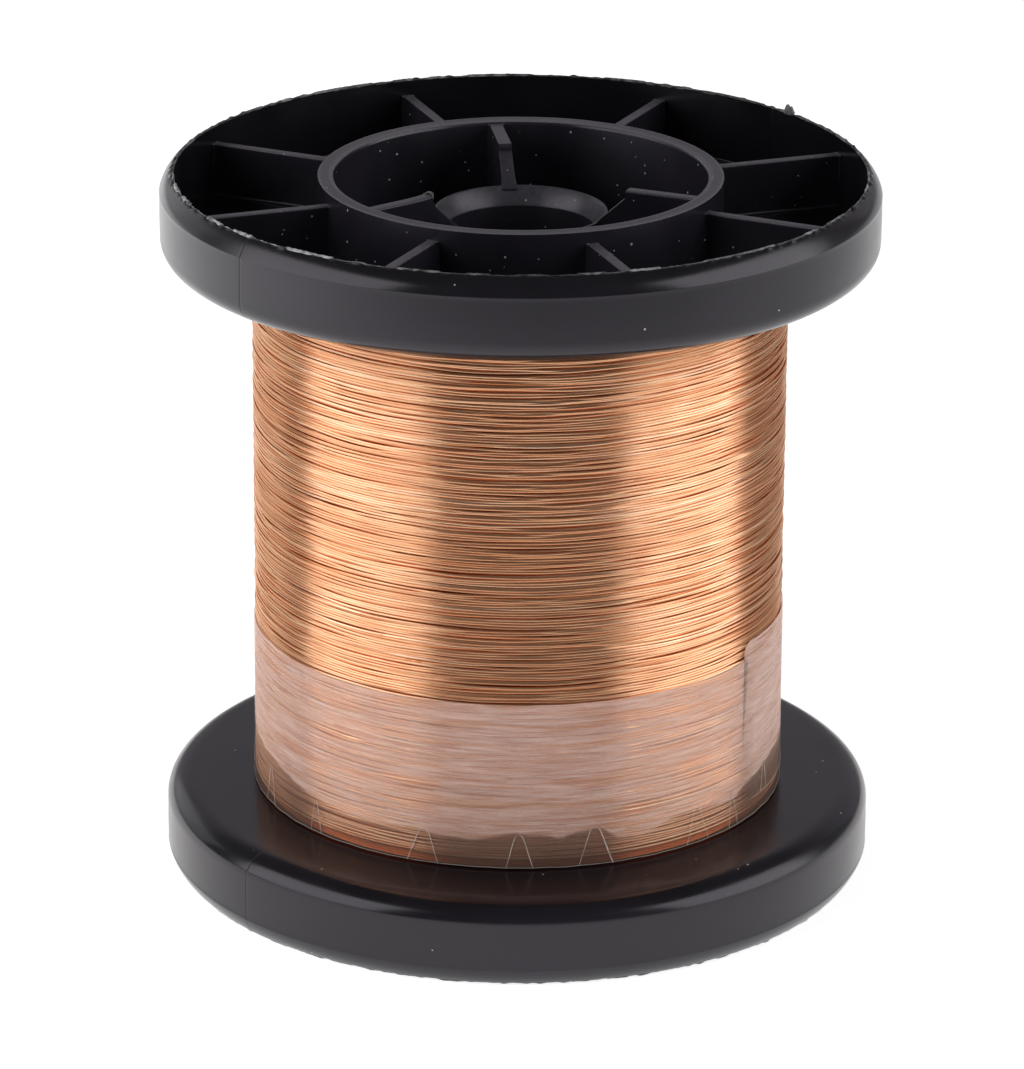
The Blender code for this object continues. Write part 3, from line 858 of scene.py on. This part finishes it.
# Height in mm of the clear margin along the tape's lower edge, by azimuth in degrees
CLEAR_MARGIN = (
    (12.0, 5.0),
    (36.0, 3.4),
    (58.0, 4.4),
    (80.0, 3.3),
    (101.0, 4.7),
    (122.0, 3.5),
    (139.0, 4.5),
    (158.0, 3.6),
    (187.0, 6.2),
    (207.0, 5.2),
    (219.0, 4.1),
    (234.0, 3.2),
    (246.0, 3.8),
    (260.0, 3.1),
    (270.0, 4.1),
    (279.0, 3.4),
    (287.0, 4.4),
    (292.0, 2.7),
    (298.0, 2.6),
    (307.0, 4.0),
    (319.0, 3.5),
    (323.0, 3.1),
    (329.5, 4.4),
    (344.0, 5.6),
)


def tape_total():
    return 360.0 + TAPE_OVERLAP_DEGREES


def tape_azimuth(travel):
    return np.radians(TAPE_END_DEGREES + tape_total() - travel)


def tape_base(travel):
    """Height of the strip's lower edge after an angle of travel from its hidden end."""
    climb = np.clip(travel - TAPE_CLIMB_START, 0.0, None) / (tape_total() - TAPE_CLIMB_START)
    return TAPE_LOW - 0.05 * MM + TAPE_CLIMB * climb


def frost_edge(travel):
    """Height in mm above the strip's lower edge where the film starts to stick."""
    degrees = np.degrees(tape_azimuth(travel)) % 360.0
    places, heights = zip(*CLEAR_MARGIN)
    margin = np.interp(degrees, places, heights, period=360.0)
    margin = margin + 0.05 * round_noise(np.radians(degrees), 52, 20, 70)
    below = np.where(travel >= 360.0, travel - 360.0, travel)
    return margin + (tape_base(below) - tape_base(travel)) / MM


def looseness(height):
    """How far the film stands off the wire at a height above its lower edge."""
    return LOOSE_LIFT * (1.0 - ease(height / LOOSE_HEIGHT))


def make_tape(film):
    """The strip from its hidden inner end to its outer end, which lies over the first stretch."""
    travel = np.linspace(0.0, tape_total(), TAPE_ROWS)
    heights = np.linspace(0.0, TAPE_WIDTH, TAPE_LEVELS)
    radius = WINDING_RADIUS + TAPE_GAP + TAPE_GAP * ease((travel - 352.0) / 8.0)
    radius = radius + 0.02 * MM * round_noise(np.radians(travel), 53, 5, 60)
    ripple = 0.03 * MM * np.sin(np.radians(travel)[:, None] * 55.0)
    ripple = ripple * (1.0 - ease(heights / (3.5 * MM)))[None, :]
    outer = radius[:, None] + looseness(heights)[None, :] + ripple
    base = tape_base(travel)[:, None] + heights[None, :]
    angle = tape_azimuth(travel)[:, None] + corner_cut(travel, heights)
    outside = polar(outer, angle, base)
    inside = polar(outer - TAPE_FILM, angle, base)[:, ::-1]
    rings = np.concatenate([outside, inside], axis=1)
    both = np.concatenate([heights, heights[::-1]]) / MM
    attributes = {
        "travel": np.broadcast_to(np.radians(travel)[:, None] * WINDING_RADIUS / MM, rings.shape[:2]),
        "height": np.broadcast_to(both[None, :], rings.shape[:2]),
        "frost_edge": np.broadcast_to(frost_edge(travel)[:, None], rings.shape[:2]),
    }
    piece = loft("tape_strip", rings, False, film, attributes)
    finish_piece(piece, "clear_film", "holding_tape")


def corner_cut(travel, heights):
    """Angle by which the strip's outer end is drawn back, which rounds its two corners."""
    from_edge = np.minimum(heights, TAPE_WIDTH - heights)
    short = np.clip(TAPE_CORNER - from_edge, 0.0, None)
    inset = TAPE_CORNER - np.sqrt(np.clip(TAPE_CORNER**2 - short**2, 0.0, None))
    near_end = ease((travel - tape_total() + 8.0) / 8.0)
    return near_end[:, None] * inset[None, :] / WINDING_RADIUS


def make_tucks(surface):
    """Fine ridges where the loose lower edge of the film has folded, each an upturned U."""
    for index, (degrees, half_width, tall, strength, skew) in enumerate(TUCKS):
        rng = np.random.default_rng(600 + index)
        share = np.linspace(-1.0, 1.0, 41)
        lean = rng.uniform(-0.3, 0.3)
        across = half_width * MM * share * (0.55 + 0.45 * np.abs(share) ** 4)
        across = across + lean * MM * (1.0 - share**2)
        rise = tall * MM * (1.0 - np.abs(share) ** 3.4) + 0.06 * MM * np.sin(share * 9.0 + index)
        azimuth = math.radians(degrees) + across / WINDING_RADIUS
        travel = TAPE_END_DEGREES + tape_total() - degrees
        travel = travel - 360.0 if travel > tape_total() else travel
        base = float(tape_base(np.array(travel)))
        height = base + np.clip(rise, 0.0, None)
        thick = 0.055 * MM * strength * (0.6 + 0.4 * np.abs(share) ** 0.7) * (1.0 + skew * share)
        radius = WINDING_RADIUS + 0.105 * MM + looseness(height - base)
        around = np.arange(6) * math.pi / 3.0
        ring_radius = radius[:, None] + thick[:, None] * np.cos(around)
        ring_height = height[:, None] + 0.35 * thick[:, None] * np.sin(around)
        ring_azimuth = azimuth[:, None] + thick[:, None] * np.sin(around) / WINDING_RADIUS
        rings = polar(ring_radius, ring_azimuth, ring_height)
        finish_piece(loft(f"tape_tuck_{index + 1}", rings, False, surface), "clear_film")


# ---------------------------------------------------------------- stage

WHITE = (1.0, 1.0, 1.0)
PALE_VIOLET = (0.96, 0.91, 1.0)

# Name, azimuth and elevation in degrees, distance, size, radiance and colour of each soft light
SOFTBOXES = (
    ("left_softbox", 200.5, 21.0, 0.5, (0.52, 0.38), 2.05, WHITE),
    ("right_softbox", 348.5, 21.0, 0.9, (0.96, 0.68), 2.15, WHITE),
    ("left_fill", 135.0, 14.0, 1.2, (0.8, 0.5), 0.5, WHITE),
    ("back_glow", 90.0, 22.0, 1.3, (2.6, 0.8), 0.22, PALE_VIOLET),
)


def make_floor():
    half = 3.0
    corners = [(-half, -half, 0), (half, -half, 0), (half, half, 0), (-half, half, 0)]
    mesh = bpy.data.meshes.new("floor")
    mesh.from_pydata(corners, [], [(0, 1, 2, 3)])
    mesh.materials.append(floor_surface())
    floor = bpy.data.objects.new("floor", mesh)
    floor.location.z = -0.1 * MM
    bpy.context.scene.collection.objects.link(floor)


def make_softbox(name, azimuth, elevation, distance, size, radiance, colour):
    """Rectangular soft light aimed at the middle of the spool."""
    light = bpy.data.lights.new(name, "AREA")
    light.shape = "RECTANGLE"
    light.size, light.size_y = size
    light.energy = radiance * math.pi * size[0] * size[1]
    light.color = colour
    obj = bpy.data.objects.new(name, light)
    around, up = math.radians(azimuth), math.radians(elevation)
    centre = Vector((0.0, 0.0, HEIGHT / 2.0))
    outward = Vector((math.cos(around) * math.cos(up), math.sin(around) * math.cos(up), math.sin(up)))
    obj.location = centre + outward * distance
    obj.rotation_mode = "QUATERNION"
    obj.rotation_quaternion = outward.to_track_quat("Z", "Y")
    bpy.context.scene.collection.objects.link(obj)


def make_world(colour, strength):
    world = bpy.data.worlds.new("studio")
    world.use_nodes = True
    background = world.node_tree.nodes["Background"]
    background.inputs["Color"].default_value = (*colour, 1.0)
    background.inputs["Strength"].default_value = strength
    bpy.context.scene.world = world


def make_camera():
    """Long lens from 20 degrees above, standing in front of the spool."""
    distance = 683.8 * MM
    elevation = math.radians(19.98)
    yaw, pitch, roll = math.radians(0.063), math.radians(-0.195), math.radians(-0.355)
    data = bpy.data.cameras.new("camera")
    data.sensor_width = 36.0
    data.lens = 203.87
    data.clip_start = 0.05
    data.clip_end = 20.0
    camera = bpy.data.objects.new("camera", data)
    forward = Vector((0.0, math.cos(elevation), -math.sin(elevation)))
    right = Vector((1.0, 0.0, 0.0))
    up = right.cross(forward)
    forward, right = Matrix.Rotation(yaw, 3, up) @ forward, Matrix.Rotation(yaw, 3, up) @ right
    forward, up = Matrix.Rotation(pitch, 3, right) @ forward, Matrix.Rotation(pitch, 3, right) @ up
    right, up = Matrix.Rotation(roll, 3, forward) @ right, Matrix.Rotation(roll, 3, forward) @ up
    place = Vector((0.0, -distance * math.cos(elevation), distance * math.sin(elevation) + HEIGHT / 2.0))
    camera.matrix_world = Matrix.Translation(place) @ Matrix((right, up, -forward)).transposed().to_4x4()
    bpy.context.scene.collection.objects.link(camera)
    bpy.context.scene.camera = camera


def make_stage():
    make_camera()
    make_floor()
    make_world((0.98, 0.95, 1.0), 0.12)
    for box in SOFTBOXES:
        make_softbox(*box)
    bpy.context.scene.view_settings.view_transform = "Standard"


def make_spool():
    outside = plastic_surface("moulded_black", 0.0068, 0.17, 0.27, 0.13)
    # Paler copy of the black for the inside: partly a haze of dust, partly painted light standing in for
    # light that reaches the inside
    inside = plastic_surface("moulded_black_inside_painted_light", 0.016, 0.22, 0.32, 0.45)
    backlit_torn_flash = torn_surface("torn_black")
    for side in ("bottom", "top"):
        make_flange(side, outside)
        make_flash(side, backlit_torn_flash)
        for index in range(RIB_COUNT):
            make_rib(side, index, inside)
    make_barrel(inside)
    make_tube(inside)
    for index in range(WEB_COUNT):
        make_web(index, inside)
    make_burr(backlit_torn_flash)


def main():
    make_stage()
    make_spool()
    copper = copper_surface("copper_outer", 1.0, 0.0, 0.25)
    # Darker, redder copy of the copper for the under turns and the inner layers: painted shade where they
    # lie in the gaps
    painted_shade_copper = copper_surface("copper_inner_painted_shade", 0.85, 0.2, 0.0)
    make_winding_bed(painted_shade_copper)
    make_outer_turns(copper, painted_shade_copper)
    make_tape(film_surface("clear_film_look"))
    make_tucks(crease_surface("film_crease"))


main()
